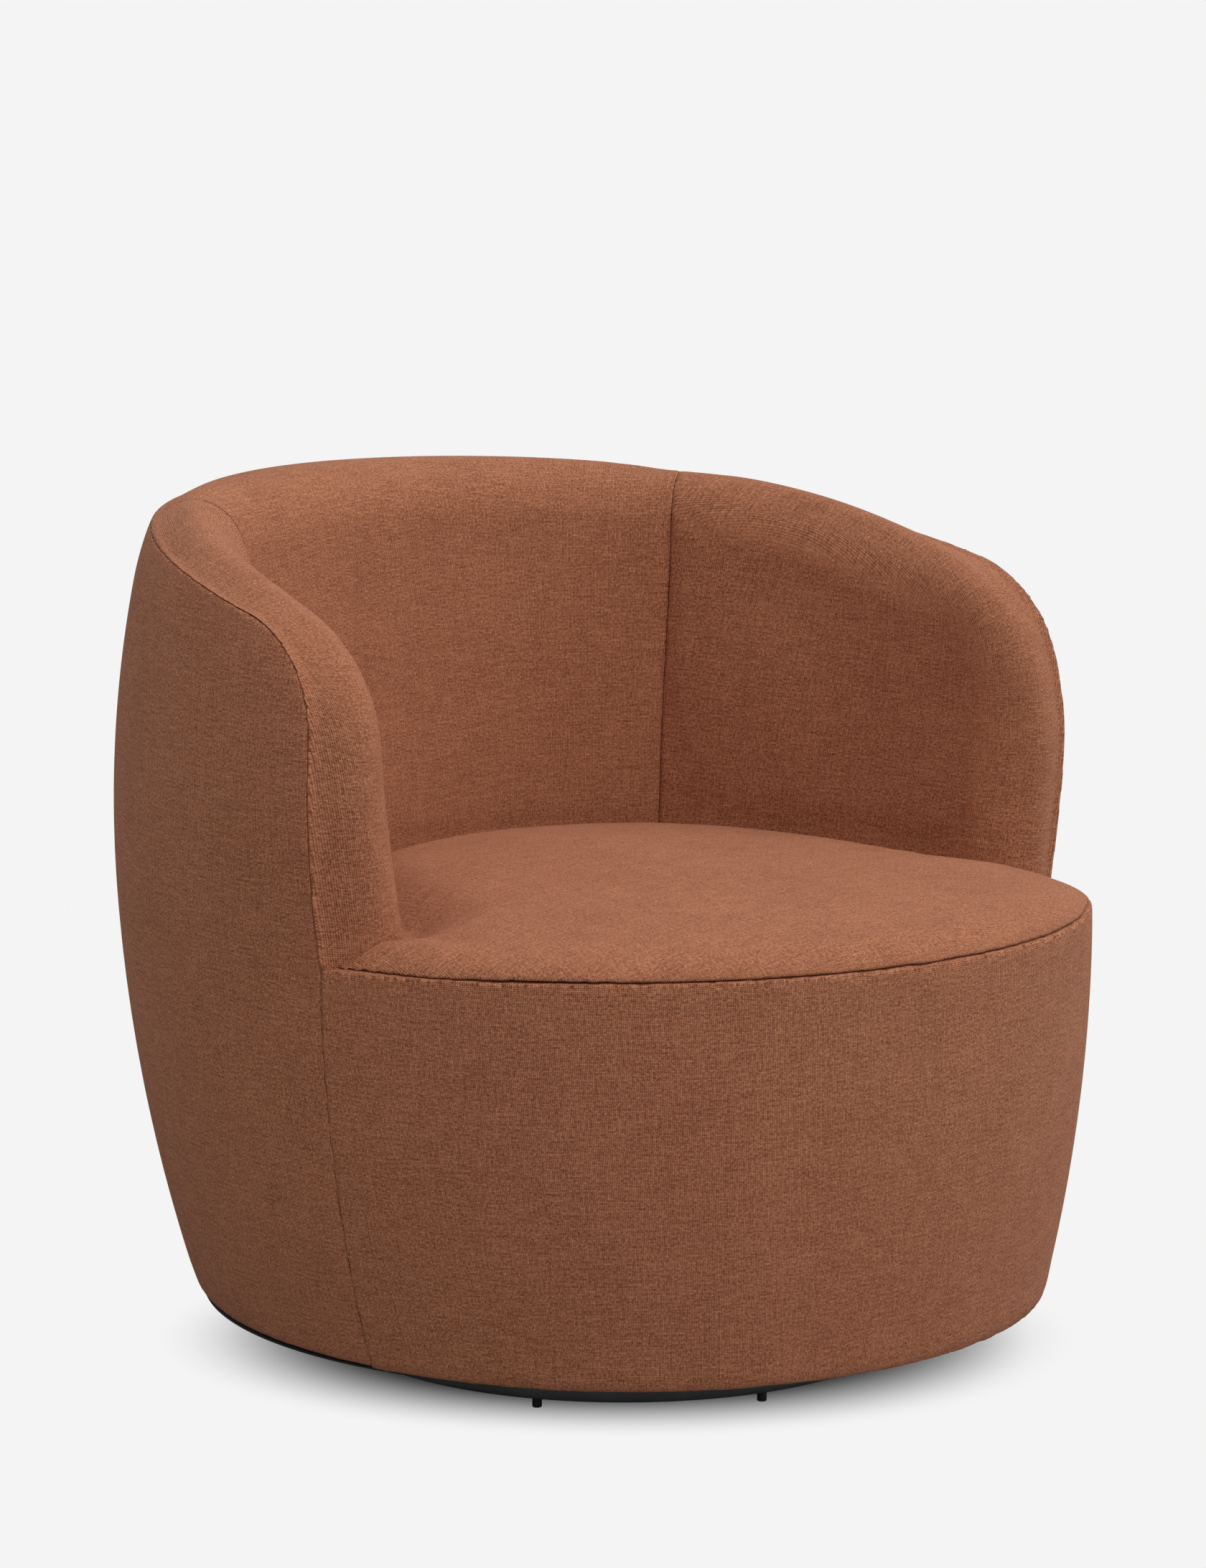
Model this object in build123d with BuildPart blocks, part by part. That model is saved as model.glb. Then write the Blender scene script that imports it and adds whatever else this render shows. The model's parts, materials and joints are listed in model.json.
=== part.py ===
"""Upholstered swivel tub chair, built as separate parts in millimetres.

+Z is up, the chair faces -Y, the swivel axis is the Z axis and the floor is Z = 0.
"""

import os
from math import cos, radians, sin, sqrt, tan

from build123d import *

# Barrel: the outer form of the tub, turned about an axis that leans back
barrel_radius = 419
barrel_waist = 428.5
barrel_back = 27.4
barrel_lean = 5.5
arc_below = 1386
arc_above = 1024

# Rim of the tub in side view, and the arm fronts
rim_height = 741
rim_back = 390
rim_slope = 5.1
rim_arc = 2950
arm_front = 133
arm_lean = 6
arm_corner = 130
rim_edge = 14
rim_drop = 18

# Seat well between the arms and the back
arm_thickness = 91
corner_thickness = 166
back_thickness = 184
rim_corner = 67
rim_wall = 85
arm_spread = 2.3
arm_lead = 30
well_depth = 90
seam_angle = 52
seam_centre = 45
arm_bulge = 21
inner_roll = 48
pad_thickness = 45

# Seat, apron and outer covers
seat_line = 385
crown_height = 442
crown_fall = 60
crown_centre = -40
seat_edge = 4.5
apron_thickness = 24
apron_bottom = 52.6
cover_thickness = 10
cover_bottom = 54.5
panel_thickness = 4
skin_edge = 5
touch = 0.3

# Plywood frame
board_bottom = 52.6
board_thickness = 18
rib_thickness = 22
rib_depth = 56
rib_setback = 45
rail_thickness = 20
hoop_top = 330
hoop_thickness = 18
hoop_back_gap = 45
hoop_front_gap = 79
strap_thickness = 2
strap_width = 48
strap_count = 3
strap_foot = 15
strap_drop = 161
dust_thickness = 2.2

# Seat springs
wire_radius = 1.8
spring_pitch = 30
spring_half_width = 14
spring_margin = 31
clip_height = 5.6
pad_felt = 7

# Swivel bearing
plate_size = 160
plate_thickness = 3
race_radius = 62
race_width = 24
ball_radius = 4.75
ball_count = 20
race_gap = 3
cage_thickness = 1.6
running_gap = 0.05
pivot_radius = 8
bolt_spacing = 62
bolt_radius = 3

# Base
ring_radius = 243
tube_radius = 12.5
tube_wall = 1.5
ring_clearance = 7
bar_width = 36
bar_thickness = 6
glide_radius = 4
glide_count = 8
base_turn = -10

span = 1200


# Measures that follow from the sizes above
board_top = board_bottom + board_thickness
deck_bottom = hoop_top + clip_height + touch
deck_top = deck_bottom + pad_felt
frame_inset = cover_thickness + panel_thickness + 2 * touch
hoop_back = barrel_back + barrel_radius - back_thickness - hoop_back_gap
hoop_front = barrel_back - barrel_radius + hoop_front_gap
hoop_opening = (hoop_back - hoop_front) / 2
hoop_centre = (hoop_back + hoop_front) / 2
crown_arc = (barrel_radius**2 + crown_fall**2) / (2 * crown_fall)
spring_spacing = ((barrel_radius - corner_thickness) * sin(radians(seam_angle)) - spring_margin) / 2
tube_height = ring_clearance + tube_radius
upper_plate_bottom = board_bottom - plate_thickness
bar_bottom = tube_height + 2.5
lower_plate_bottom = bar_bottom + bar_thickness
lower_plate_top = lower_plate_bottom + plate_thickness
ball_height = (lower_plate_top + upper_plate_bottom) / 2

lean = radians(barrel_lean)
barrel_centre = (0, barrel_back, barrel_waist)
barrel_axis = Axis(barrel_centre, (0, sin(lean), cos(lean)))
barrel_section = Plane(origin=barrel_centre, x_dir=(1, 0, 0), z_dir=(0, -cos(lean), sin(lean)))
barrel_low = -barrel_waist - 45
barrel_high = rim_height - barrel_waist + 60


def barrel_reach(level, inset):
    """Radius of the barrel at a level measured along its axis from the waist."""
    arc = arc_above if level > 0 else arc_below
    return barrel_radius - arc + sqrt((arc - inset) ** 2 - level**2)


def barrel(inset):
    """The solid barrel, drawn in all round by an inset."""
    foot = (barrel_reach(barrel_low, inset), barrel_low)
    belly = (barrel_reach(barrel_low / 2, inset), barrel_low / 2)
    waist = (barrel_radius - inset, 0)
    shoulder = (barrel_reach(barrel_high / 2, inset), barrel_high / 2)
    top = (barrel_reach(barrel_high, inset), barrel_high)
    with BuildPart() as form:
        with BuildSketch(barrel_section):
            with BuildLine():
                Polyline((0, barrel_high), (0, barrel_low), foot)
                ThreePointArc(foot, belly, waist)
                ThreePointArc(waist, shoulder, top)
                Line(top, (0, barrel_high))
            make_face()
        revolve(axis=barrel_axis)
    return form.part


def rim_level(y, drop):
    """Height of the rim line in side view, lowered by a drop."""
    peak_y = rim_back + rim_arc * sin(radians(rim_slope))
    middle_z = rim_height - rim_arc * cos(radians(rim_slope))
    return middle_z - drop + sqrt(rim_arc**2 - (y - peak_y) ** 2)


def front_line(z, drop):
    """Y of the leaning arm front at a height, set back by a drop."""
    return drop - arm_front + (z - seat_line) * tan(radians(arm_lean))


def rim_block(drop):
    """Everything under the rim line and behind the arm fronts, drawn in by a drop."""
    corner_z = rim_height - 80
    for _ in range(12):
        corner_z = rim_level(front_line(corner_z, drop), drop)
    corner = (front_line(corner_z, drop), corner_z)
    back = span / 2
    with BuildPart() as block:
        with BuildSketch(Plane.YZ) as profile:
            with BuildLine():
                Polyline((back, rim_level(back, drop)), (back, 0), (front_line(0, drop), 0), corner)
                middle = (corner[0] + back) / 2
                ThreePointArc(corner, (middle, rim_level(middle, drop)), (back, rim_level(back, drop)))
            make_face()
            fillet(profile.vertices().sort_by_distance(Vertex(*corner, 0))[0], arm_corner - drop)
        extrude(amount=span / 2, both=True)
    return block.part


def seat_well(grow):
    """The open space between the arms and the back, widened all round by a growth."""
    top_reach = barrel_reach(rim_height - barrel_waist, 0)
    corner_recline = (top_reach - rim_corner - barrel_radius + corner_thickness) / (rim_height - seat_line)
    back_recline = (top_reach - rim_wall - barrel_radius + back_thickness) / (rim_height - seat_line)
    arm_y = -arm_front - arm_lead
    with BuildPart() as well:
        for height in (seat_line - well_depth, rim_height + arm_lead):
            rise = height - seat_line
            arm_x = sqrt(barrel_radius**2 - (arm_front + barrel_back) ** 2) - arm_thickness + grow
            arm_x += rise * tan(radians(arm_spread))
            seam_reach = barrel_radius - corner_thickness + 1.05 * grow + rise * corner_recline
            seam_x = seam_reach * sin(radians(seam_angle))
            seam_y = seam_centre + seam_reach * cos(radians(seam_angle))
            back_y = barrel_back + barrel_radius - back_thickness + grow + rise * back_recline
            run = sqrt((arm_x - seam_x) ** 2 + (arm_y - seam_y) ** 2)
            bow_x = (arm_x + seam_x) / 2 + arm_bulge * (seam_y - arm_y) / run
            bow_y = (arm_y + seam_y) / 2 + arm_bulge * (arm_x - seam_x) / run
            with BuildSketch(Plane.XY.offset(height)):
                with BuildLine():
                    Polyline((-arm_x, arm_y), (-arm_x, -span / 2), (arm_x, -span / 2), (arm_x, arm_y))
                    ThreePointArc((arm_x, arm_y), (bow_x, bow_y), (seam_x, seam_y))
                    ThreePointArc((seam_x, seam_y), (0, back_y), (-seam_x, seam_y))
                    ThreePointArc((-seam_x, seam_y), (-bow_x, bow_y), (-arm_x, arm_y))
                make_face()
        loft(ruled=True)
    return well.part


def block_between(low, high):
    """A wide block between two heights."""
    with BuildPart() as block:
        with BuildSketch(Plane.XY.offset(low)):
            Rectangle(span, span)
        extrude(amount=high - low)
    return block.part


def block_ahead(y):
    """Everything ahead of a plane across the chair."""
    with BuildPart() as block:
        with BuildSketch(Plane.XY):
            with Locations((0, y - span / 2)):
                Rectangle(span, span)
        extrude(amount=span)
    return block.part


def back_wedge():
    """The sector behind the two back seams."""
    reach = 2 * span
    side = reach * sin(radians(seam_angle))
    far = seam_centre + reach * cos(radians(seam_angle))
    with BuildPart() as block:
        with BuildSketch(Plane.XY):
            with BuildLine():
                Polyline((0, seam_centre), (side, far), (-side, far), close=True)
            make_face()
        extrude(amount=span)
    return block.part


def left_half():
    """Everything on the left of the middle plane."""
    with BuildPart() as block:
        with BuildSketch(Plane.XY):
            with Locations((-span / 2, 0)):
                Rectangle(span, span)
        extrude(amount=span)
    return block.part


# Shared forms
outer_form = barrel(0)
rim_form = rim_block(0)
well_form = seat_well(0)
wedge_form = back_wedge()
left_form = left_half()
front_seam = rim_drop - arm_front
front_form = block_ahead(front_seam)
front_foot = front_form & block_between(0, seat_line + touch)
pad_range = block_between(hoop_top + touch, span)
core_form = outer_form & rim_block(rim_drop) - seat_well(pad_thickness)


def barrel_level(p):
    """Level of a point along the barrel's axis, from the waist."""
    return (p.Y - barrel_back) * sin(lean) + (p.Z - barrel_waist) * cos(lean)


def barrel_gap(p):
    """How far a point is inside the barrel's surface."""
    across = (p.Y - barrel_back) * cos(lean) - (p.Z - barrel_waist) * sin(lean)
    return barrel_reach(barrel_level(p), 0) - sqrt(p.X**2 + across**2)


def seam_gap(p):
    """How far a point is from the back seam's plane."""
    angle = radians(seam_angle)
    return abs(p.X) * cos(angle) - (p.Y - seam_centre) * sin(angle)


def rim_edges(wall, inner):
    """The edges of a wall's rim, on the seat well's side or on the outside."""
    picked = ShapeList()
    for edge in wall.edges():
        points = [edge @ place for place in (0.1, 0.5, 0.9)]
        low = all(p.Z < hoop_top + 1 for p in points)
        on_seam = all(abs(seam_gap(p)) < 0.5 for p in points)
        on_waist = all(abs(barrel_level(p)) < 0.5 for p in points)
        if inner:
            near = all(well_form.distance_to(Vertex(*p)) < 0.1 for p in points)
        else:
            near = all(abs(barrel_gap(p)) < 0.3 for p in points)
        if near and not (low or on_seam or on_waist):
            picked.append(edge)
    return picked


# Upholstered walls as full forms, with rounded rims
with BuildPart() as back_wall:
    add(outer_form)
    add(rim_form, mode=Mode.INTERSECT)
    add(pad_range, mode=Mode.INTERSECT)
    add(well_form, mode=Mode.SUBTRACT)
    add(wedge_form, mode=Mode.INTERSECT)
    fillet(rim_edges(back_wall, False), rim_edge)
    fillet(rim_edges(back_wall, True), inner_roll)

with BuildPart() as left_wall:
    add(outer_form)
    add(rim_form, mode=Mode.INTERSECT)
    add(pad_range, mode=Mode.INTERSECT)
    add(well_form, mode=Mode.SUBTRACT)
    add(wedge_form, mode=Mode.SUBTRACT)
    add(left_form, mode=Mode.INTERSECT)
    fillet(rim_edges(left_wall, False), rim_edge)
    fillet(rim_edges(left_wall, True), inner_roll)

with BuildPart() as right_wall:
    mirror(left_wall.part, about=Plane.YZ)

# Pads: the walls hollowed where the frame stands
with BuildPart() as back_pad:
    add(back_wall.part)
    add(core_form, mode=Mode.SUBTRACT)

with BuildPart() as arm_pad_left:
    add(left_wall.part)
    add(core_form, mode=Mode.SUBTRACT)
    add(front_foot, mode=Mode.SUBTRACT)

with BuildPart() as arm_pad_right:
    mirror(arm_pad_left.part, about=Plane.YZ)


def skin(outer, inner, drop, low, front):
    """A curved layer of the tub's outside between two insets, under the rim and behind the front seam."""
    outside = barrel(outer)
    inside = barrel(inner)
    under_rim = rim_block(drop)
    above = block_between(low, span)
    ahead = block_ahead(front)
    with BuildPart() as layer:
        add(outside)
        add(inside, mode=Mode.SUBTRACT)
        add(under_rim, mode=Mode.INTERSECT)
        add(above, mode=Mode.INTERSECT)
        add(ahead, mode=Mode.SUBTRACT)
    return layer.part


def outside_edges(piece, height):
    """The edges of a layer that lie on the barrel at a height."""
    picked = ShapeList()
    for edge in piece.edges():
        points = [edge @ place for place in (0.1, 0.5, 0.9)]
        if all(abs(barrel_gap(p)) < 0.3 and abs(p.Z - height) < 0.3 for p in points):
            picked.append(edge)
    return picked


# Outer covers and the fibreboard panels that back them
cover_form = skin(0, cover_thickness, rim_drop + touch, cover_bottom, front_seam)
panel_outer = cover_thickness + touch
panel_form = skin(panel_outer, panel_outer + panel_thickness, rim_drop + 3, cover_bottom + 2, front_seam + 3)

with BuildPart() as cover_back:
    add(cover_form)
    add(wedge_form, mode=Mode.INTERSECT)
    fillet(outside_edges(cover_back, cover_bottom), skin_edge)

with BuildPart() as cover_left:
    add(cover_form)
    add(wedge_form, mode=Mode.SUBTRACT)
    add(left_form, mode=Mode.INTERSECT)
    fillet(outside_edges(cover_left, cover_bottom), skin_edge)

with BuildPart() as cover_right:
    mirror(cover_left.part, about=Plane.YZ)

with BuildPart() as panel_back:
    add(panel_form)
    add(wedge_form, mode=Mode.INTERSECT)

with BuildPart() as panel_left:
    add(panel_form)
    add(wedge_form, mode=Mode.SUBTRACT)
    add(left_form, mode=Mode.INTERSECT)

with BuildPart() as panel_right:
    mirror(panel_left.part, about=Plane.YZ)

# Front apron and the plywood panel behind it
apron_inside = barrel(apron_thickness)
apron_range = block_between(apron_bottom, seat_line - touch)
apron_front = block_ahead(front_seam - touch)

with BuildPart() as apron_pad:
    add(outer_form)
    add(apron_inside, mode=Mode.SUBTRACT)
    add(apron_range, mode=Mode.INTERSECT)
    add(apron_front, mode=Mode.INTERSECT)
    fillet(outside_edges(apron_pad, seat_line - touch), skin_edge)
    fillet(outside_edges(apron_pad, apron_bottom), skin_edge)

backing_inset = apron_thickness + touch
backing_outside = barrel(backing_inset)
backing_inside = barrel(backing_inset + 2 * panel_thickness)
hoop_bottom = hoop_top - hoop_thickness
under_hoop = block_between(board_top + touch, hoop_bottom - touch)

with BuildPart() as apron_panel:
    add(backing_outside)
    add(backing_inside, mode=Mode.SUBTRACT)
    add(under_hoop, mode=Mode.INTERSECT)
    add(apron_front, mode=Mode.INTERSECT)

# Seat: crowned cushion, foam core and felt deck pad
cushion_range = block_between(seat_line, span)
core_range = block_between(deck_top + touch, seat_line - touch)
deck_range = block_between(deck_bottom, deck_top)


def crown_edges(piece):
    """The front edge of the crowned seat."""
    picked = ShapeList()
    for edge in piece.edges():
        points = [edge @ place for place in (0.1, 0.5, 0.9)]
        if all(abs(barrel_gap(p)) < 0.3 and p.Z > seat_line + 0.5 for p in points):
            picked.append(edge)
    return picked.sort_by(SortBy.LENGTH)[-1:]


with BuildPart() as seat_cushion:
    add(outer_form)
    with Locations((0, crown_centre, crown_height - crown_arc)):
        Sphere(crown_arc, mode=Mode.INTERSECT)
    add(cushion_range, mode=Mode.INTERSECT)
    for wall in (back_wall, left_wall, right_wall):
        add(wall.part, mode=Mode.SUBTRACT)
    with BuildSketch(Plane.XY.offset(seat_line)):
        with Locations((span / 2 + barrel_radius - arm_thickness, span / 2 - arm_front + 6)):
            Rectangle(span, span)
        with Locations((-span / 2 - barrel_radius + arm_thickness, span / 2 - arm_front + 6)):
            Rectangle(span, span)
    extrude(amount=span, mode=Mode.SUBTRACT)
    fillet(crown_edges(seat_cushion), seat_edge)

with BuildPart() as seat_foam:
    add(backing_outside)
    add(core_range, mode=Mode.INTERSECT)
    for wall in (back_wall, left_wall, right_wall):
        add(wall.part, mode=Mode.SUBTRACT)

with BuildPart() as deck_pad:
    add(backing_outside)
    add(deck_range, mode=Mode.INTERSECT)
    for wall in (back_wall, left_wall, right_wall):
        add(wall.part, mode=Mode.SUBTRACT)

# Plywood ribs from the bottom board to the top rail
frame_outside = barrel(frame_inset)
frame_inside = barrel(frame_inset + rib_depth)
frame_well = seat_well(pad_thickness + strap_thickness + 2 * touch)
under_rail = rim_block(rim_drop + rail_thickness + 2 * touch)
above_hoop = block_between(hoop_bottom, span)
below_seat = block_between(board_top + touch, hoop_top)
lower_zone = (frame_outside - frame_inside) & below_seat
upper_zone = (frame_outside & under_rail & above_hoop) - frame_well
rib_zone = lower_zone + upper_zone
front_rib_inside = barrel(backing_inset + 2 * panel_thickness + touch + rib_depth)
front_rib_outside = barrel(backing_inset + 2 * panel_thickness + touch)
front_rib_zone = (front_rib_outside - front_rib_inside) & under_hoop


def rib(zone, angle):
    """A plywood rib in a zone, at an angle from the front towards +X."""
    with BuildPart() as piece:
        add(zone)
        with BuildSketch(Plane.XY.rotated((0, 0, angle))):
            with Locations((0, -span / 2)):
                Rectangle(rib_thickness, span)
        extrude(amount=span, mode=Mode.INTERSECT)
    return piece.part


with BuildPart() as rib_arm_left:
    add(rib_zone)
    with BuildSketch(Plane.XY):
        with Locations((-span / 4, front_seam + rib_setback + rib_thickness / 2)):
            Rectangle(span / 2, rib_thickness)
    extrude(amount=span, mode=Mode.INTERSECT)

with BuildPart() as rib_arm_right:
    mirror(rib_arm_left.part, about=Plane.YZ)

ribs = {
    "rib_arm_left": rib_arm_left.part,
    "rib_arm_right": rib_arm_right.part,
    "rib_side_left": rib(rib_zone, -100),
    "rib_side_right": rib(rib_zone, 100),
    "rib_corner_left": rib(rib_zone, -140),
    "rib_corner_right": rib(rib_zone, 140),
    "rib_back": rib(rib_zone, 180),
    "rib_front_left": rib(front_rib_zone, -32),
    "rib_front_right": rib(front_rib_zone, 32),
}

# Top rail along the rim, seat hoop, webbing straps, bottom board and dust cover
rail_outside = rim_block(rim_drop + touch)
rail_inside = rim_block(rim_drop + touch + rail_thickness)
rail_end = block_ahead(front_seam + rib_setback + rib_thickness / 2)

with BuildPart() as top_rail:
    add(frame_outside)
    add(rail_outside, mode=Mode.INTERSECT)
    add(rail_inside, mode=Mode.SUBTRACT)
    add(frame_well, mode=Mode.SUBTRACT)
    add(rail_end, mode=Mode.SUBTRACT)

hoop_range = block_between(hoop_bottom, hoop_top)

with BuildPart() as seat_hoop:
    add(backing_outside)
    add(hoop_range, mode=Mode.INTERSECT)
    with BuildSketch(Plane.XY.offset(hoop_bottom)):
        with Locations((0, hoop_centre)):
            Circle(hoop_opening)
    extrude(amount=hoop_thickness, mode=Mode.SUBTRACT)
    for piece in ribs.values():
        add(piece, mode=Mode.SUBTRACT)

strap_outside = seat_well(pad_thickness + touch + strap_thickness)
strap_inside = seat_well(pad_thickness + touch)
strap_rim = rim_block(rim_drop + rail_thickness + 4)
strap_front = block_ahead(front_seam + rib_setback)
strap_pitch = (rim_height - strap_drop - seat_line - strap_foot) / (strap_count - 1)
strap_lows = [seat_line + strap_foot + step * strap_pitch for step in range(strap_count)]
strap_bands = Part() + [block_between(low, low + strap_width) for low in strap_lows]

with BuildPart() as back_straps:
    add(strap_outside)
    add(strap_inside, mode=Mode.SUBTRACT)
    add(strap_bands, mode=Mode.INTERSECT)
    add(strap_rim, mode=Mode.INTERSECT)
    add(strap_front, mode=Mode.SUBTRACT)

board_range = block_between(board_bottom, board_top)
bolt_places = GridLocations(2 * bolt_spacing, 2 * bolt_spacing, 2, 2)
tee_radius = bolt_radius + 1.3

with BuildPart() as bottom_board:
    add(backing_outside)
    add(board_range, mode=Mode.INTERSECT)
    with BuildSketch(Plane.XY.offset(board_bottom)):
        Circle(3.2 * pivot_radius)
        with bolt_places:
            Circle(tee_radius + 0.1)
    extrude(amount=board_thickness, mode=Mode.SUBTRACT)

dust_outside = barrel(skin_edge - 1)
dust_top = board_bottom - 0.2
dust_range = block_between(dust_top - dust_thickness, dust_top)

with BuildPart() as dust_cover:
    add(dust_outside)
    add(dust_range, mode=Mode.INTERSECT)
    with BuildSketch(Plane.XY.offset(dust_top - dust_thickness)):
        Circle(0.74 * plate_size)
    extrude(amount=dust_thickness, mode=Mode.SUBTRACT)


def spring_turns(x):
    """Number of turns that reach across the hoop's opening on to the hoop."""
    chord = 2 * sqrt(hoop_opening**2 - x**2)
    return int((chord + 12) / spring_pitch) + 1


def spring(x):
    """A sinuous wire spring from front to back."""
    turns = spring_turns(x)
    start = hoop_centre - turns * spring_pitch / 2
    with BuildPart() as wire:
        with BuildLine(Plane.XY.offset(hoop_top + wire_radius + touch)) as path:
            for turn in range(turns + 1):
                y = start + turn * spring_pitch
                side = spring_half_width if turn % 2 == 0 else -spring_half_width
                outward = spring_pitch / 2 if turn % 2 == 0 else -spring_pitch / 2
                Line((x - side, y), (x + side, y))
                if turn < turns:
                    bend = (x + side + outward, y + spring_pitch / 2)
                    ThreePointArc((x + side, y), bend, (x + side, y + spring_pitch))
        with BuildSketch(path.line ^ 0):
            Circle(wire_radius)
        sweep(path=path.line)
    return wire.part


springs_inner = spring(-spring_spacing) + spring(spring_spacing)
springs_outer = spring(-2 * spring_spacing) + spring(2 * spring_spacing)
spring_centre = spring(0)

with BuildPart() as spring_clips:
    for x in (-2 * spring_spacing, -spring_spacing, 0, spring_spacing, 2 * spring_spacing):
        reach = spring_turns(x) * spring_pitch / 2
        for y in (hoop_centre - reach, hoop_centre + reach):
            with BuildSketch(Plane.XY.offset(hoop_top)):
                with Locations((x, y)):
                    Rectangle(1.2 * spring_half_width, 4 * wire_radius)
            extrude(amount=clip_height)
            with BuildSketch(Plane.YZ.offset(x)):
                with Locations((y, hoop_top + wire_radius + touch)):
                    Circle(wire_radius + 0.15)
            extrude(amount=spring_half_width, both=True, mode=Mode.SUBTRACT)

# Swivel bearing: plates, races, balls, cage, pivot and fasteners
race_inner = race_radius - race_width / 2
race_outer = race_radius + race_width / 2
groove_radius = ball_radius + running_gap
base_plane = Plane.XY.rotated((0, 0, base_turn))

with BuildPart() as lower_plate:
    with BuildSketch(base_plane.offset(lower_plate_bottom)):
        RectangleRounded(plate_size, plate_size, 8)
        with bolt_places:
            Circle(bolt_radius + 0.2, mode=Mode.SUBTRACT)
    extrude(amount=plate_thickness)

with BuildPart() as upper_plate:
    with BuildSketch(Plane.XY.offset(upper_plate_bottom)):
        RectangleRounded(plate_size, plate_size, 8)
        Circle(pivot_radius + running_gap, mode=Mode.SUBTRACT)
        with bolt_places:
            Circle(bolt_radius + 0.2, mode=Mode.SUBTRACT)
    extrude(amount=plate_thickness)

with BuildPart() as lower_race:
    with BuildSketch(Plane.XY.offset(lower_plate_top)):
        Circle(race_outer)
        Circle(race_inner, mode=Mode.SUBTRACT)
    extrude(amount=ball_height - race_gap / 2 - lower_plate_top)
    with Locations((0, 0, ball_height)):
        Torus(race_radius, groove_radius, mode=Mode.SUBTRACT)

with BuildPart() as upper_race:
    with BuildSketch(Plane.XY.offset(ball_height + race_gap / 2)):
        Circle(race_outer)
        Circle(race_inner, mode=Mode.SUBTRACT)
    extrude(amount=upper_plate_bottom - ball_height - race_gap / 2)
    with Locations((0, 0, ball_height)):
        Torus(race_radius, groove_radius, mode=Mode.SUBTRACT)

with BuildPart() as bearing_balls:
    with Locations((0, 0, ball_height)):
        with PolarLocations(race_radius, ball_count):
            Sphere(ball_radius)

with BuildPart() as ball_cage:
    with BuildSketch(Plane.XY.offset(ball_height - cage_thickness / 2)):
        Circle(race_outer - 3)
        Circle(race_inner + 3, mode=Mode.SUBTRACT)
        with PolarLocations(race_radius, ball_count):
            Circle(ball_radius + 0.08, mode=Mode.SUBTRACT)
    extrude(amount=cage_thickness)

with BuildPart() as pivot_stud:
    with BuildSketch(Plane.XY.offset(lower_plate_top)):
        Circle(2.7 * pivot_radius)
    extrude(amount=4)
    with BuildSketch(Plane.XY.offset(lower_plate_top + 4)):
        Circle(pivot_radius)
    extrude(amount=board_top - 3 - lower_plate_top - 4)
    chamfer(pivot_stud.edges().sort_by(Axis.Z)[-1], 1)

washer_bottom = board_bottom + 0.1

with BuildPart() as pivot_washer:
    with BuildSketch(Plane.XY.offset(washer_bottom)):
        Circle(2.3 * pivot_radius)
        Circle(pivot_radius + running_gap, mode=Mode.SUBTRACT)
    extrude(amount=2)

with BuildPart() as pivot_nut:
    with BuildSketch(Plane.XY.offset(washer_bottom + 2)):
        RegularPolygon(1.7 * pivot_radius, 6)
        Circle(pivot_radius + running_gap, mode=Mode.SUBTRACT)
    extrude(amount=8)

with BuildPart() as frame_bolts:
    with BuildSketch(Plane.XY.offset(upper_plate_bottom - 4)):
        with bolt_places:
            Circle(1.9 * bolt_radius)
    extrude(amount=4)
    with BuildSketch(Plane.XY.offset(upper_plate_bottom)):
        with bolt_places:
            Circle(bolt_radius)
    extrude(amount=board_top + 2 - upper_plate_bottom)
    with BuildSketch(Plane.XY.offset(upper_plate_bottom - 4)):
        with bolt_places:
            RegularPolygon(bolt_radius, 6)
    extrude(amount=2.5, mode=Mode.SUBTRACT)

with BuildPart() as tee_nuts:
    with BuildSketch(Plane.XY.offset(board_top)):
        with bolt_places:
            Circle(3 * bolt_radius)
    extrude(amount=1.6)
    with BuildSketch(Plane.XY.offset(board_top)):
        with bolt_places:
            Circle(tee_radius)
    extrude(amount=-11)
    with BuildSketch(Plane.XY.offset(board_top - 11)):
        with bolt_places:
            Circle(bolt_radius + running_gap)
    extrude(amount=13, mode=Mode.SUBTRACT)

with BuildPart() as base_bolts:
    with BuildSketch(base_plane.offset(lower_plate_top)):
        with bolt_places:
            Circle(1.9 * bolt_radius)
    extrude(amount=3.5)
    with BuildSketch(base_plane.offset(bar_bottom - 8)):
        with bolt_places:
            Circle(bolt_radius)
    extrude(amount=lower_plate_top - bar_bottom + 8)
    with BuildSketch(base_plane.offset(lower_plate_top + 1.3)):
        with bolt_places:
            RegularPolygon(bolt_radius, 6)
    extrude(amount=2.2, mode=Mode.SUBTRACT)

with BuildPart() as base_nuts:
    with BuildSketch(base_plane.offset(bar_bottom - 5)):
        with bolt_places:
            RegularPolygon(1.9 * bolt_radius, 6)
            Circle(bolt_radius + running_gap, mode=Mode.SUBTRACT)
    extrude(amount=5)

# Base: tube ring, crossed bars and floor glides
glide_places = PolarLocations(ring_radius, glide_count, start_angle=-90)

with BuildPart() as base_ring:
    with Locations((0, 0, tube_height)):
        Torus(ring_radius, tube_radius)
        Torus(ring_radius, tube_radius - tube_wall, mode=Mode.SUBTRACT)
    with BuildSketch(base_plane):
        with glide_places:
            Circle(glide_radius + 0.1)
    extrude(amount=tube_height, mode=Mode.SUBTRACT)

with BuildPart() as floor_glides:
    with BuildSketch(base_plane):
        with glide_places:
            Circle(glide_radius)
    extrude(amount=ring_clearance + 4)
    chamfer(floor_glides.edges().group_by(Axis.Z)[0], 0.5)

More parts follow.
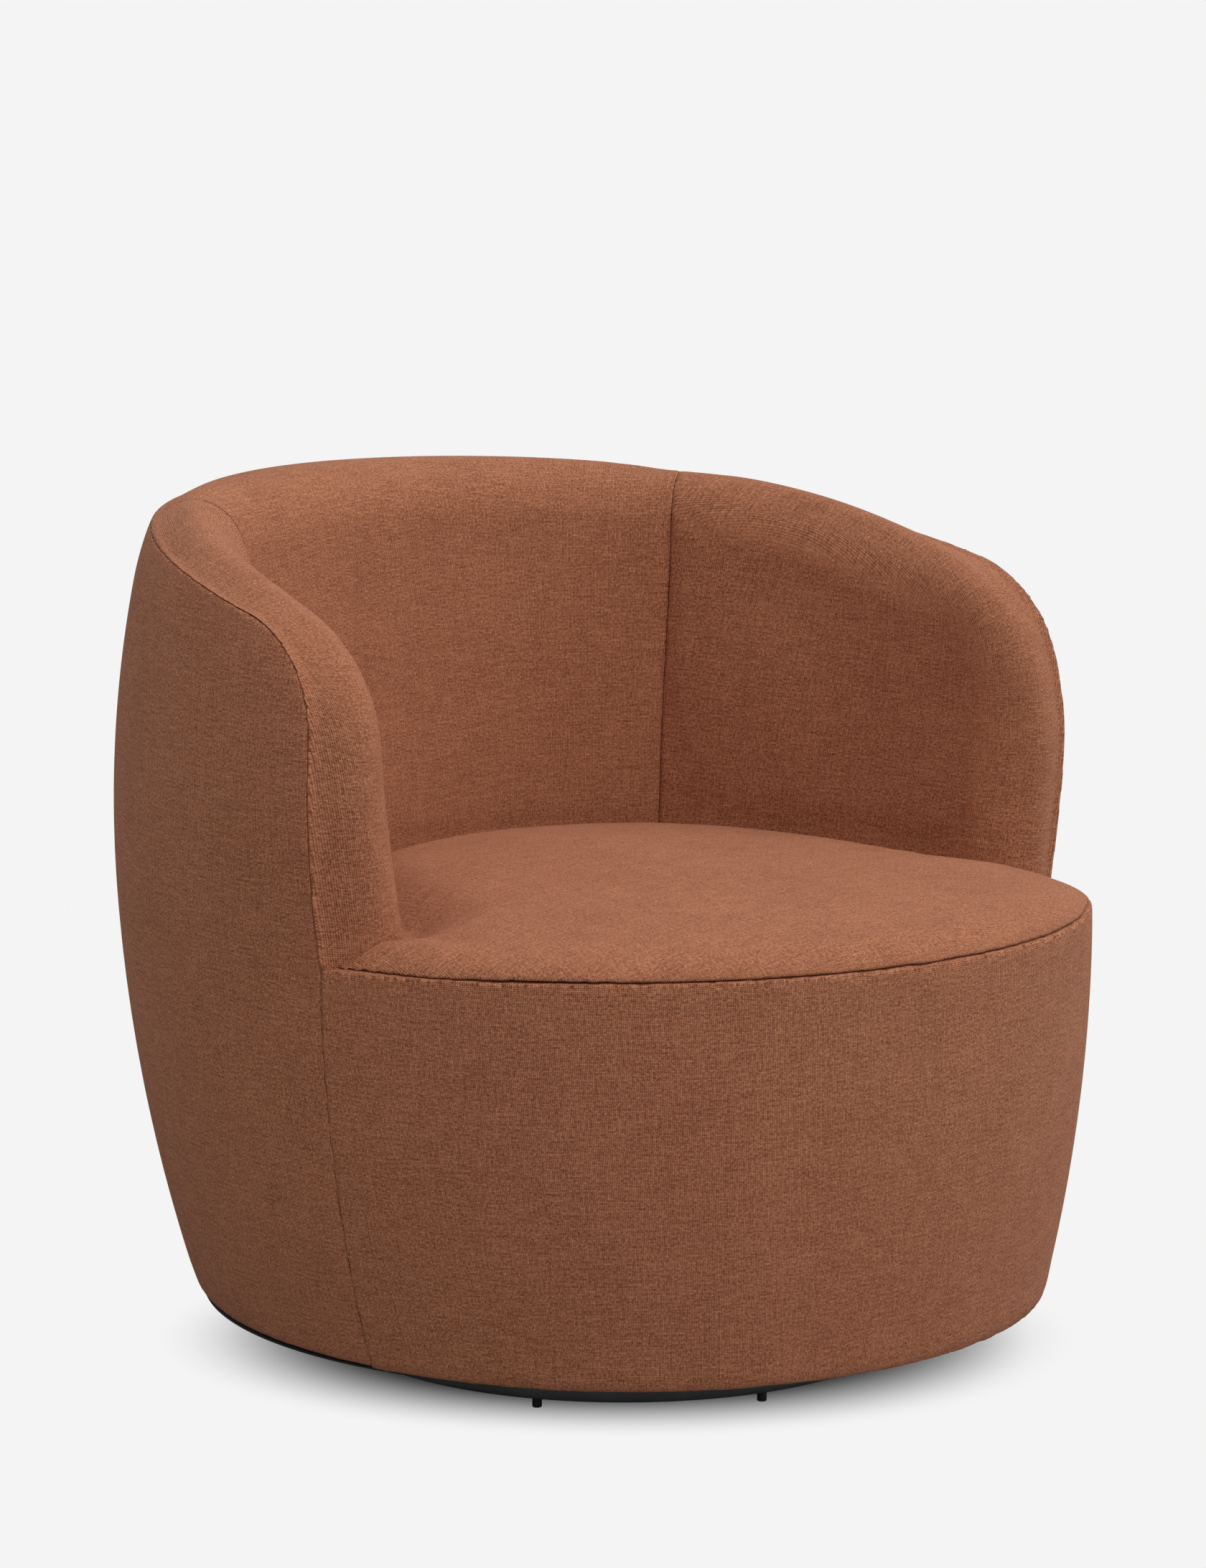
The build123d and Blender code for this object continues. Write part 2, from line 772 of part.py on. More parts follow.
with BuildPart() as bar_long:
    with BuildSketch(base_plane.offset(bar_bottom)):
        Rectangle(2 * ring_radius, bar_width, rotation=45)
        with bolt_places:
            Circle(bolt_radius + 0.2, mode=Mode.SUBTRACT)
    extrude(amount=bar_thickness)
    with Locations((0, 0, tube_height)):
        Torus(ring_radius, tube_radius + touch, mode=Mode.SUBTRACT)


def half_bar(angle):
    """Half of the second base bar, from the long bar to the ring."""
    with BuildPart() as bar:
        with BuildSketch(base_plane.offset(bar_bottom)):
            with Locations(Location((0, 0, 0), angle)):
                with Locations(((ring_radius + bar_width / 2 + touch) / 2, 0)):
                    Rectangle(ring_radius - bar_width / 2 - touch, bar_width)
            with bolt_places:
                Circle(bolt_radius + 0.2, mode=Mode.SUBTRACT)
        extrude(amount=bar_thickness)
        with Locations((0, 0, tube_height)):
            Torus(ring_radius, tube_radius + touch, mode=Mode.SUBTRACT)
    return bar.part


parts = {
    "base_ring": base_ring.part,
    "bar_long": bar_long.part,
    "bar_front": half_bar(-45),
    "bar_back": half_bar(135),
    "floor_glides": floor_glides.part,
    "lower_plate": lower_plate.part,
    "lower_race": lower_race.part,
    "base_bolts": base_bolts.part,
    "base_nuts": base_nuts.part,
    "pivot_stud": pivot_stud.part,
    "pivot_washer": pivot_washer.part,
    "pivot_nut": pivot_nut.part,
    "bearing_balls": bearing_balls.part,
    "ball_cage": ball_cage.part,
    "upper_plate": upper_plate.part,
    "upper_race": upper_race.part,
    "frame_bolts": frame_bolts.part,
    "tee_nuts": tee_nuts.part,
    "bottom_board": bottom_board.part,
    "dust_cover": dust_cover.part,
    **ribs,
    "seat_hoop": seat_hoop.part,
    "top_rail": top_rail.part,
    "back_straps": back_straps.part,
    "spring_centre": spring_centre,
    "springs_inner": springs_inner,
    "springs_outer": springs_outer,
    "spring_clips": spring_clips.part,
    "deck_pad": deck_pad.part,
    "seat_foam": seat_foam.part,
    "seat_cushion": seat_cushion.part,
    "apron_panel": apron_panel.part,
    "apron_pad": apron_pad.part,
    "back_pad": back_pad.part,
    "arm_pad_left": arm_pad_left.part,
    "arm_pad_right": arm_pad_right.part,
    "panel_back": panel_back.part,
    "panel_left": panel_left.part,
    "panel_right": panel_right.part,
    "cover_back": cover_back.part,
    "cover_left": cover_left.part,
    "cover_right": cover_right.part,
}

os.makedirs("parts", exist_ok=True)
for name, piece in parts.items():
    piece.label = name
    export_step(piece, f"parts/{name}.step")
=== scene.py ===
"""Looks of an upholstered swivel tub chair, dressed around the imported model. Lengths are in metres."""

import json
from math import cos, pi, radians, sin, tan

import bmesh
import bpy
import numpy as np
from mathutils.bvhtree import BVHTree
from mathutils.kdtree import KDTree
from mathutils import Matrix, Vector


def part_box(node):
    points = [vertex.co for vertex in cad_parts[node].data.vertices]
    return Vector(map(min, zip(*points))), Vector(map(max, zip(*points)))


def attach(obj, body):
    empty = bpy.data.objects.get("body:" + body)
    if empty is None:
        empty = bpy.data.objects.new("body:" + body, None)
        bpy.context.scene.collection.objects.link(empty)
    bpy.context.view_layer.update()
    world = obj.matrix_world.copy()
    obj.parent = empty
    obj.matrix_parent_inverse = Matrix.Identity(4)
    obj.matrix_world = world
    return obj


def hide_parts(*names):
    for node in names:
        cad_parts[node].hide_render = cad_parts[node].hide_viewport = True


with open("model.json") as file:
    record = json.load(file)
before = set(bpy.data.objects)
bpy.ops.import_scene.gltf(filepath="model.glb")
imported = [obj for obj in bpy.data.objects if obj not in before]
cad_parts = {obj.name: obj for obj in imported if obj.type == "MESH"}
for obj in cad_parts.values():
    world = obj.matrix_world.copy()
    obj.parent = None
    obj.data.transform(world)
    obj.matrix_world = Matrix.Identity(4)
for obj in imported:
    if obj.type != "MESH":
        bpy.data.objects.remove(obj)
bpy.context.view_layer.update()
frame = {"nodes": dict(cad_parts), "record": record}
scene = bpy.context.scene

# Sizes of the tub that the cloth follows
barrel_radius = 0.419
barrel_back = 0.0274
barrel_waist = 0.4285
barrel_lean = radians(5.5)
arc_below = 1.386
arc_above = 1.024
seat_line = 0.385
rim_height = 0.741
rim_back = 0.390
rim_slope = radians(5.1)
rim_arc = 2.95
arm_front = 0.133
arm_lean = radians(6)
arm_corner = 0.130
corner_y = 0.015
corner_z = 0.550
corner_tilt = radians(13)
crown_height = 0.442
crown_fall = 0.060
crown_centre = -0.040
seam_centre = 0.045
seam_angle = radians(52)
inner_roll = 0.048
back_reach = 0.217
back_radius = 0.3
seam_reach = 0.253
recline = 0.14
arm_thickness = 0.091

# Stuffing that the arms and the seat show beyond the plain solids
rim_fall = 0.0165
rim_crest = 0.042
rim_tuck = 0.004
seam_lap = 0.005
seam_depth = 0.018
cover_gap = 0.0005
arm_flare = 0.025
flare_sideways = 0.62
flare_forward = 0.78
arm_droop = 0.014
arm_slack = 0.011
arm_waist = 0.018
seat_draw = 0.032
seat_crease = 0.090
seat_crown = 0.86
seat_slope = 0.06
seat_blend = 0.004
seat_lip = 0.0025
seat_lap = 0.0008
seat_round = 0.024
ear_puff = 0.011
ear_tuck = 0.014
foot_lap = 0.004
corner_sink = 0.014
core_gap = 0.004
hem_drop = 0.0035

# Where each change of form begins and ends: heights, places along x and y, and depths into the wall
flare_heights = (0.34, 0.54)
flare_ahead = (-0.06, 0.16)
right_top = (0.60, 0.68)
right_top_less = 0.4
arm_reach = 0.25
waist_y = 0.13
waist_spread = 0.07
waist_heights = (0.50, 0.65)
slack_ahead = (0.02, 0.20)
seat_sides = (0.05, 0.17)
droop_heights = (0.45, 0.66)
droop_ahead = (-0.06, 0.22)
crest_depths = (0.0, 0.035)
foot_heights = (seat_line, 0.41)
foot_ahead = (-0.13, -0.06)
foot_depths = (0.002, 0.006)
foot_below = 0.001
rim_behind = (0.10, 0.25)
rim_behind_less = 0.3
lap_fade = 0.012
tuck_fade = 0.05
hem_middle = -0.05
hem_span = 0.25
hem_lift = 0.7
hem_heights = (0.055, 0.085)
crease_ahead = (-0.16, -0.06)
right_crease_lead = 0.05
core_heights = (0.348, 0.380)
round_sides = (0.20, 0.36)
edge_depths = (0.003, 0.012)
puff_sides = (0.29, 0.35)
puff_behind = (-0.24, -0.15)
tuck_sides = (0.32, 0.37)
tuck_behind = (-0.20, -0.14)
seat_top_from = 0.002
least_rise = 0.15
corner_sides = (0.27, 0.39)
corner_front = (-0.31, -0.17)
corner_back = (-0.05, 0.10)
sink_heights = (0.27, seat_line)
sink_top = (seat_line + 0.01, 0.49)
apron_draw = 0.7
apron_edge_depth = 0.006
apron_edge_height = 0.012
band_depths = (0.018, 0.050)

# Cloth
warp_pitch = 0.0015
weft_pitch = 0.00125
yarn_wander = 0.0012
slub_count = 48
slub_shift = 17.618
slub_row = 5.27
weave_bump = 0.0006
fabric_voxel = 0.004
pad_voxel = 0.005
core_voxel = 0.008
seam_fold = radians(25)
seam_step = 0.001
swell_frames = 12
swell_pressure = 4.0
seat_swell = 0.005
arm_swell = 0.003
wall_swell = 0.002
held_reach = 0.0018
dust_hole = 0.1184
dust_sag = 0.0025
dust_staples = 72
dust_pucker = 0.0028
dust_gap = 0.0005
dust_thickness = 0.0012

# Colours, as the light leaves them
rust_dark = (0.110, 0.030, 0.013, 1)
rust = (0.345, 0.120, 0.057, 1)
rust_light = (0.640, 0.280, 0.150, 1)
page_colour = (0.905, 0.905, 0.905, 1)
floor_colour = (0.85, 0.85, 0.85, 1)
bounce_colour = (0.35, 0.35, 0.35, 1)

# The floor's shade near the base, and the turn of the view
shade_near = 0.19
shade_far = 0.325
shade_width = 1.27
view_turn = radians(38)

# Light and camera; the camera's film and lens are in millimetres
sky_level = 0.62
sky_lean = (0.30, -0.20, 0.28)
sun_strength = 1.25
sun_spread = radians(60)
sun_tilt = radians(34)
sun_turn = radians(52)
camera_place = (-2.3076, -2.9261, 1.0244)
camera_dip = radians(8.269)
camera_lens = 100.8
camera_film = 36


# Shader helpers


def add_node(tree, kind, inputs=None, **settings):
    """A node with its settings, and its inputs set to values or linked to sockets."""
    made = tree.nodes.new(kind)
    for key, value in settings.items():
        setattr(made, key, value)
    for key, value in (inputs or {}).items():
        if isinstance(value, bpy.types.NodeSocket):
            tree.links.new(value, made.inputs[key])
        else:
            made.inputs[key].default_value = value
    return made


def maths(tree, operation, first, second=0.0):
    """The result of a sum on one or two values."""
    return add_node(tree, "ShaderNodeMath", {0: first, 1: second}, operation=operation).outputs[0]


def noise(tree, place, scale, detail=2.0):
    """The value of a noise at a place."""
    made = add_node(tree, "ShaderNodeTexNoise", {"Vector": place, "Scale": scale, "Detail": detail})
    return made.outputs["Fac"]


def blended(tree, share, first, second):
    """A value between two others, by a share of the second."""
    return add_node(tree, "ShaderNodeMix", {"Factor": share, "A": first, "B": second}).outputs[0]


def stretched(tree, place, along, across, depth=1.0):
    """A place scaled by its own factor along each axis."""
    factors = (along, across, depth)
    made = add_node(tree, "ShaderNodeVectorMath", {0: place, 1: factors}, operation="MULTIPLY")
    return made.outputs[0]


def new_group(name, inputs, outputs):
    """An empty shader group with its sockets, and its two end nodes."""
    group = bpy.data.node_groups.new(name, "ShaderNodeTree")
    for label, kind in inputs.items():
        group.interface.new_socket(label, in_out="INPUT", socket_type=kind)
    for label, kind in outputs.items():
        group.interface.new_socket(label, in_out="OUTPUT", socket_type=kind)
    return group, group.nodes.new("NodeGroupInput"), group.nodes.new("NodeGroupOutput")


def placed_group(tree, group, inputs):
    """A shader group placed in a material."""
    made = tree.nodes.new("ShaderNodeGroup")
    made.node_tree = group
    for key, value in inputs.items():
        if isinstance(value, bpy.types.NodeSocket):
            tree.links.new(value, made.inputs[key])
        else:
            made.inputs[key].default_value = value
    return made


def ramp(tree, value, stops):
    """A colour ramp over a value."""
    made = add_node(tree, "ShaderNodeValToRGB", {"Fac": value})
    row = made.color_ramp.elements
    while len(row) < len(stops):
        row.new(0.5)
    for stop, (at, colour) in zip(row, stops):
        stop.position = at
        stop.color = colour
    return made.outputs["Color"]


def new_material(name):
    """A material with its tree and its surface shader."""
    material = bpy.data.materials.new(name)
    material.use_nodes = True
    return material, material.node_tree, material.node_tree.nodes["Principled BSDF"]


# Shared surface effects


def yarn_slub(tree, along, yarn):
    """Thick and thin places along each yarn, unlike those of the yarn beside it."""
    shift = maths(tree, "MULTIPLY", yarn, slub_shift)
    run = maths(tree, "ADD", maths(tree, "MULTIPLY", along, slub_count), shift)
    row = maths(tree, "MULTIPLY", yarn, slub_row)
    place = add_node(tree, "ShaderNodeCombineXYZ", {"X": run, "Y": row})
    return noise(tree, place.outputs[0], 1.0)


def make_weave():
    """Plain weave of uneven linen yarns over a place given along the weft and the warp."""
    group, start, end = new_group("linen weave", {"Place": "NodeSocketVector"},
                                  {"Tone": "NodeSocketFloat", "Height": "NodeSocketFloat"})
    place = start.outputs["Place"]
    wander = add_node(group, "ShaderNodeTexNoise", {"Vector": place, "Scale": 28.0, "Detail": 2.0})
    offset = add_node(group, "ShaderNodeVectorMath", {0: wander.outputs["Color"], 1: (0.5, 0.5, 0.5)},
                      operation="SUBTRACT").outputs[0]
    reach = (yarn_wander, yarn_wander, 0)
    moved = add_node(group, "ShaderNodeVectorMath", {0: offset, 1: reach, 2: place},
                     operation="MULTIPLY_ADD").outputs[0]
    parts = add_node(group, "ShaderNodeSeparateXYZ", {0: moved})
    warp = maths(group, "DIVIDE", parts.outputs["X"], warp_pitch)
    weft = maths(group, "DIVIDE", parts.outputs["Y"], weft_pitch)
    warp_round = maths(group, "ABSOLUTE", maths(group, "SINE", maths(group, "MULTIPLY", warp, pi)))
    weft_round = maths(group, "ABSOLUTE", maths(group, "SINE", maths(group, "MULTIPLY", weft, pi)))
    warp_yarn = maths(group, "FLOOR", warp)
    weft_yarn = maths(group, "FLOOR", weft)
    weft_over = maths(group, "FLOORED_MODULO", maths(group, "ADD", warp_yarn, weft_yarn), 2.0)
    yarns = blended(group, weft_over, warp_round, weft_round)
    weft_slub = yarn_slub(group, parts.outputs["X"], weft_yarn)
    warp_slub = yarn_slub(group, parts.outputs["Y"], warp_yarn)
    cloud = noise(group, moved, 12.0, 3.0)
    speck = noise(group, moved, 480.0, 2.0)
    tone = 0.5
    # In the tone, the yarns' round is painted shade: darker in the gaps between the yarns and lighter on
    # their crests. The slubs, cloud and specks are the yarns' own colour.
    for value, share, middle in ((weft_slub, 0.55, 0.5), (warp_slub, 0.40, 0.5), (cloud, 0.15, 0.5),
                                 (speck, 1.30, 0.5), (yarns, 0.80, 0.62)):
        shifted = maths(group, "SUBTRACT", value, middle)
        tone = maths(group, "ADD", maths(group, "MULTIPLY", shifted, share), tone)
    weft_thick = maths(group, "MULTIPLY", weft_slub, 0.5)
    warp_thick = maths(group, "MULTIPLY", warp_slub, 0.4)
    height = maths(group, "ADD", yarns, maths(group, "ADD", weft_thick, warp_thick))
    group.links.new(tone, end.inputs["Tone"])
    group.links.new(height, end.inputs["Height"])
    return group


def make_mottle():
    """Soft uneven patches and fine grit over an object, for paint, plastic and plated metal."""
    group, start, end = new_group("mottle", {"Size": "NodeSocketFloat", "Amount": "NodeSocketFloat"},
                                  {"Patches": "NodeSocketFloat", "Grit": "NodeSocketFloat"})
    place = add_node(group, "ShaderNodeTexCoord").outputs["Object"]
    patches = noise(group, place, start.outputs["Size"], 4.0)
    spread = maths(group, "MULTIPLY", maths(group, "SUBTRACT", patches, 0.5), start.outputs["Amount"])
    group.links.new(maths(group, "ADD", spread, 0.5), end.inputs["Patches"])
    group.links.new(noise(group, place, 1800.0, 1.0), end.inputs["Grit"])
    return group


weave = make_weave()
mottle = make_mottle()


# Finishes


def make_upholstery(name, banded):
    """Rust linen-look upholstery. On the arms a second lay of the cloth follows the band over the arm."""
    material, tree, surface = new_material(name)
    lay = add_node(tree, "ShaderNodeAttribute", attribute_name="weave").outputs["Vector"]
    cloth = placed_group(tree, weave, {"Place": lay})
    tone, height = cloth.outputs["Tone"], cloth.outputs["Height"]
    if banded:
        band = add_node(tree, "ShaderNodeAttribute", attribute_name="band").outputs["Vector"]
        strip = placed_group(tree, weave, {"Place": band})
        share = add_node(tree, "ShaderNodeAttribute", attribute_name="band_share").outputs["Fac"]
        tone = blended(tree, share, tone, strip.outputs["Tone"])
        height = blended(tree, share, height, strip.outputs["Height"])
    colour = ramp(tree, tone, [(0.0, rust_dark), (0.5, rust), (1.0, rust_light)])
    bump = add_node(tree, "ShaderNodeBump", {"Strength": 0.45, "Distance": weave_bump, "Height": height})
    tree.links.new(colour, surface.inputs["Base Color"])
    tree.links.new(bump.outputs[0], surface.inputs["Normal"])
    surface.inputs["Roughness"].default_value = 0.92
    surface.inputs["Specular IOR Level"].default_value = 0.25
    surface.inputs["Sheen Weight"].default_value = 0.03
    surface.inputs["Sheen Roughness"].default_value = 0.45
    surface.inputs["Sheen Tint"].default_value = (0.95, 0.78, 0.68, 1)
    return material


def make_coated(name, dark, light, roughness, size, metal=0.0):
    """Paint, plastic or plating with uneven patches and a fine grit."""
    material, tree, surface = new_material(name)
    marks = placed_group(tree, mottle, {"Size": size, "Amount": 1.2})
    patches, grit = marks.outputs["Patches"], marks.outputs["Grit"]
    colour = ramp(tree, patches, [(0.2, dark), (0.8, light)])
    rough = add_node(tree, "ShaderNodeMapRange",
                     {"Value": patches, "To Min": roughness - 0.08, "To Max": roughness + 0.08})
    bump = add_node(tree, "ShaderNodeBump", {"Strength": 0.15, "Distance": 0.0002, "Height": grit})
    tree.links.new(colour, surface.inputs["Base Color"])
    tree.links.new(rough.outputs[0], surface.inputs["Roughness"])
    tree.links.new(bump.outputs[0], surface.inputs["Normal"])
    surface.inputs["Metallic"].default_value = metal
    return material


def make_fibrous(name, dark, light, along, across, depth, roughness):
    """Wood, felt, foam or jute: streaks of a noise stretched by a factor along each axis."""
    material, tree, surface = new_material(name)
    place = add_node(tree, "ShaderNodeTexCoord").outputs["Object"]
    streaks = noise(tree, stretched(tree, place, along, across, depth), 1.0, 5.0)
    colour = ramp(tree, streaks, [(0.25, dark), (0.75, light)])
    bump = add_node(tree, "ShaderNodeBump", {"Strength": 0.4, "Distance": 0.0006, "Height": streaks})
    tree.links.new(colour, surface.inputs["Base Color"])
    tree.links.new(bump.outputs[0], surface.inputs["Normal"])
    surface.inputs["Roughness"].default_value = roughness
    return material


upholstery = make_upholstery("rust linen", False)
arm_upholstery = make_upholstery("rust linen on the arms", True)
grey_paint = make_coated("dark grey paint", (0.105, 0.107, 0.110, 1), (0.140, 0.142, 0.145, 1), 0.45, 40.0)
black_nylon = make_coated("black nylon", (0.007, 0.007, 0.007, 1), (0.014, 0.014, 0.014, 1), 0.55, 90.0)
white_nylon = make_coated("white nylon", (0.62, 0.62, 0.58, 1), (0.74, 0.74, 0.70, 1), 0.50, 90.0)
zinc = make_coated("zinc plate", (0.42, 0.42, 0.41, 1), (0.62, 0.62, 0.60, 1), 0.36, 60.0, 1.0)
spring_wire = make_coated("spring wire", (0.16, 0.16, 0.16, 1), (0.28, 0.28, 0.28, 1), 0.40, 80.0, 1.0)
plywood = make_fibrous("plywood", (0.42, 0.27, 0.14, 1), (0.62, 0.45, 0.27, 1), 18, 18, 260, 0.70)
fibreboard = make_fibrous("fibreboard", (0.22, 0.14, 0.08, 1), (0.33, 0.22, 0.13, 1), 240, 240, 240, 0.80)
felt = make_fibrous("felt", (0.14, 0.14, 0.13, 1), (0.25, 0.24, 0.23, 1), 500, 500, 500, 0.95)
foam = make_fibrous("foam", (0.62, 0.56, 0.40, 1), (0.76, 0.71, 0.54, 1), 700, 700, 700, 0.90)
jute = make_fibrous("jute webbing", (0.25, 0.17, 0.09, 1), (0.42, 0.31, 0.18, 1), 300, 300, 900, 0.90)
dust_fabric = make_fibrous("black dust cloth", (0.008, 0.008, 0.008, 1), (0.022, 0.022, 0.022, 1),
                           420, 420, 90, 0.85)

finish_of_slot = {
    "upholstery": upholstery,
    "foam": foam,
    "felt": felt,
    "jute": jute,
    "dust_cloth": dust_fabric,
    "plywood": plywood,
    "fibreboard": fibreboard,
    "spring_steel": spring_wire,
    "zinc_steel": zinc,
    "black_steel": grey_paint,
    "glide_plastic": black_nylon,
    "cage_plastic": white_nylon,
}
for row in frame["record"]["subparts"]:
    carried = frame["nodes"][row["node"]].data
    carried.materials.clear()
    carried.materials.append(finish_of_slot[row["material_slot"]])


# Making cloth pieces


def merged_copy(node, name):
    """A copy of a CAD node as an object of its own, with its loose triangles joined."""
    mesh = frame["nodes"][node].data.copy()
    work = bmesh.new()
    work.from_mesh(mesh)
    bmesh.ops.remove_doubles(work, verts=work.verts, dist=0.00001)
    work.to_mesh(mesh)
    work.free()
    piece = bpy.data.objects.new(name, mesh)
    scene.collection.objects.link(piece)
    return piece


def settle(piece):
    """The piece's modifiers applied to its mesh."""
    shaped = piece.evaluated_get(bpy.context.evaluated_depsgraph_get())
    mesh = bpy.data.meshes.new_from_object(shaped)
    piece.modifiers.clear()
    piece.data = mesh


def sewn_lines(piece):
    """Points close together along the sharp edges of a piece."""
    work = bmesh.new()
    work.from_mesh(piece.data)
    points = []
    for edge in work.edges:
        if edge.is_manifold and edge.calc_face_angle() > seam_fold:
            start, end = (v.co for v in edge.verts)
            steps = int((end - start).length / seam_step) + 1
            points += [start.lerp(end, i / steps) for i in range(steps + 1)]
    work.free()
    lines = KDTree(len(points))
    for i, point in enumerate(points):
        lines.insert(point, i)
    lines.balance()
    return lines


def even_cloth(node, name, voxel):
    """A copy of a CAD node with even faces all over, whose seams stay true, and its seam lines."""
    piece = merged_copy(node, name)
    lines = sewn_lines(piece)
    points = [v.co for v in piece.data.vertices]
    solid = BVHTree.FromPolygons(points, [p.vertices for p in piece.data.polygons])
    even = piece.modifiers.new("even", "REMESH")
    even.mode = "SHARP"
    even.octree_depth = int(np.ceil(np.log2(max(piece.dimensions) / voxel)))
    even.scale = max(piece.dimensions) / voxel / 2**even.octree_depth
    even.sharpness = 1.0
    settle(piece)
    work = bmesh.new()
    work.from_mesh(piece.data)
    for v in work.verts:
        spot, _, gap = lines.find(v.co)
        v.co = spot if gap < 0.5 * voxel else solid.find_nearest(v.co)[0]
    bmesh.ops.remove_doubles(work, verts=work.verts, dist=0.25 * voxel)
    work.to_mesh(piece.data)
    work.free()
    return piece, lines


def points_of(piece):
    """The piece's points as rows of numbers."""
    points = np.zeros(len(piece.data.vertices) * 3, np.float32)
    piece.data.vertices.foreach_get("co", points)
    return points.reshape(-1, 3).astype(float)


def surface_tree(nodes):
    """The surfaces of some CAD nodes, for finding what a piece lies against."""
    points, faces = [], []
    for node in nodes:
        solid = frame["nodes"][node].data
        start = len(points)
        points.extend(v.co[:] for v in solid.vertices)
        faces.extend([start + i for i in p.vertices] for p in solid.polygons)
    return BVHTree.FromPolygons(points, faces)


def swell(piece, node, most):
    """Blows the cloth up a little between the places where it is held, by no more than a distance."""
    tree = surface_tree(other for other in frame["nodes"] if other != node)
    held = piece.vertex_groups.new(name="held")
    for v in piece.data.vertices:
        if tree.find_nearest(v.co, held_reach)[0] is not None:
            held.add([v.index], 1.0, "REPLACE")
    before = points_of(piece)
    cloth = piece.modifiers.new("cloth", "CLOTH")
    cloth.settings.quality = 4
    cloth.settings.use_pressure = True
    cloth.settings.uniform_pressure_force = swell_pressure
    cloth.settings.effector_weights.gravity = 0.0
    cloth.settings.vertex_group_mass = "held"
    cloth.point_cache.frame_start = 1
    cloth.point_cache.frame_end = swell_frames
    for step in range(1, swell_frames + 1):
        scene.frame_set(step)
    settle(piece)
    scene.frame_set(1)
    moved = points_of(piece) - before
    length = np.linalg.norm(moved, axis=1, keepdims=True)
    after = before + moved * np.minimum(1.0, most / np.maximum(length, 1e-9))
    piece.data.vertices.foreach_set("co", after.astype(np.float32).ravel())
    piece.vertex_groups.clear()


def smooth(work, points, rounds):
    """Draws points towards their neighbours a number of times."""
    for _ in range(rounds):
        bmesh.ops.smooth_vert(work, verts=points, factor=0.5,
                              use_axis_x=True, use_axis_y=True, use_axis_z=True)


def soften(piece, lines, rounds):
    """Evens the cloth out between its seams, then rounds the seams over a little."""
    work = bmesh.new()
    work.from_mesh(piece.data)
    smooth(work, [v for v in work.verts if lines.find(v.co)[2] > seam_step], rounds)
    smooth(work, work.verts, 1)
    work.to_mesh(piece.data)
    work.free()
    piece.data.shade_smooth()


def ease(value, low, high):
    """A share that goes smoothly from 0 to 1 between two values."""
    share = np.clip((value - low) / (high - low), 0, 1)
    return share * share * (3 - 2 * share)


def wall_depth(x, y, z):
    """How far a point is inside the barrel's outer surface."""
    level = (y - barrel_back) * sin(barrel_lean) + (z - barrel_waist) * cos(barrel_lean)
    across = (y - barrel_back) * cos(barrel_lean) - (z - barrel_waist) * sin(barrel_lean)
    arc = np.where(level > 0, arc_above, arc_below)
    reach = barrel_radius - arc + np.sqrt(arc**2 - level**2)
    return reach - np.hypot(x, across)


def rim_level(y):
    """Height of the rim in side view, and the tilt of the rim there."""
    ahead = rim_back + rim_arc * sin(rim_slope) - y
    level = rim_height - rim_arc * cos(rim_slope) + np.sqrt(rim_arc**2 - ahead**2)
    return level, np.arcsin(ahead / rim_arc)


def rim_depth(y, z):
    """How far a point is behind the arm's front, round its corner and under the rim, and the way in."""
    along, up = y - corner_y, z - corner_z
    spread = np.hypot(along, up) + 1e-9
    level, tilt = rim_level(y)
    on_top = along * cos(corner_tilt) + up * sin(corner_tilt) > 0
    in_corner = ~on_top & (along * sin(arm_lean) + up * cos(arm_lean) > 0)
    front = (y + arm_front) * cos(arm_lean) - (z - seat_line) * sin(arm_lean)
    depth = np.where(on_top, (level - z) * np.cos(tilt), np.where(in_corner, arm_corner - spread, front))
    way_y = np.where(on_top, np.sin(tilt), np.where(in_corner, -along / spread, cos(arm_lean)))
    way_z = np.where(on_top, -np.cos(tilt), np.where(in_corner, -up / spread, -sin(arm_lean)))
    return depth, way_y, way_z


def move_points(piece, x, y, z):
    """Puts the piece's points in new places."""
    piece.data.vertices.foreach_set("co", np.stack([x, y, z], 1).astype(np.float32).ravel())


def round_rim(piece, lap=0.0):
    """Rounds the rim and the arm's front down to their outer seam, and moves the seam's edge up by a lap."""
    x, y, z = points_of(piece).T
    wall = np.maximum(wall_depth(x, y, z), 0)
    depth, way_y, way_z = rim_depth(y, z)
    outer = np.clip(1 - (wall - seam_lap) / rim_crest, 0, 1)
    fall = rim_fall * outer**2 * (1 - rim_behind_less * ease(y, *rim_behind))
    sink = np.where(depth < seam_depth, fall * (1 - depth / seam_depth), 0)
    sink -= lap * (1 - ease(depth, seam_depth, seam_depth + lap_fade))
    tuck = rim_tuck * -way_z * outer * np.clip(1 - (depth - rim_fall) / tuck_fade, 0, 1) ** 2
    draw_in = 1 - tuck / np.hypot(x, y - seam_centre)
    along = seam_centre + (y - seam_centre) * draw_in
    move_points(piece, x * draw_in, along + way_y * sink, z + way_z * sink)


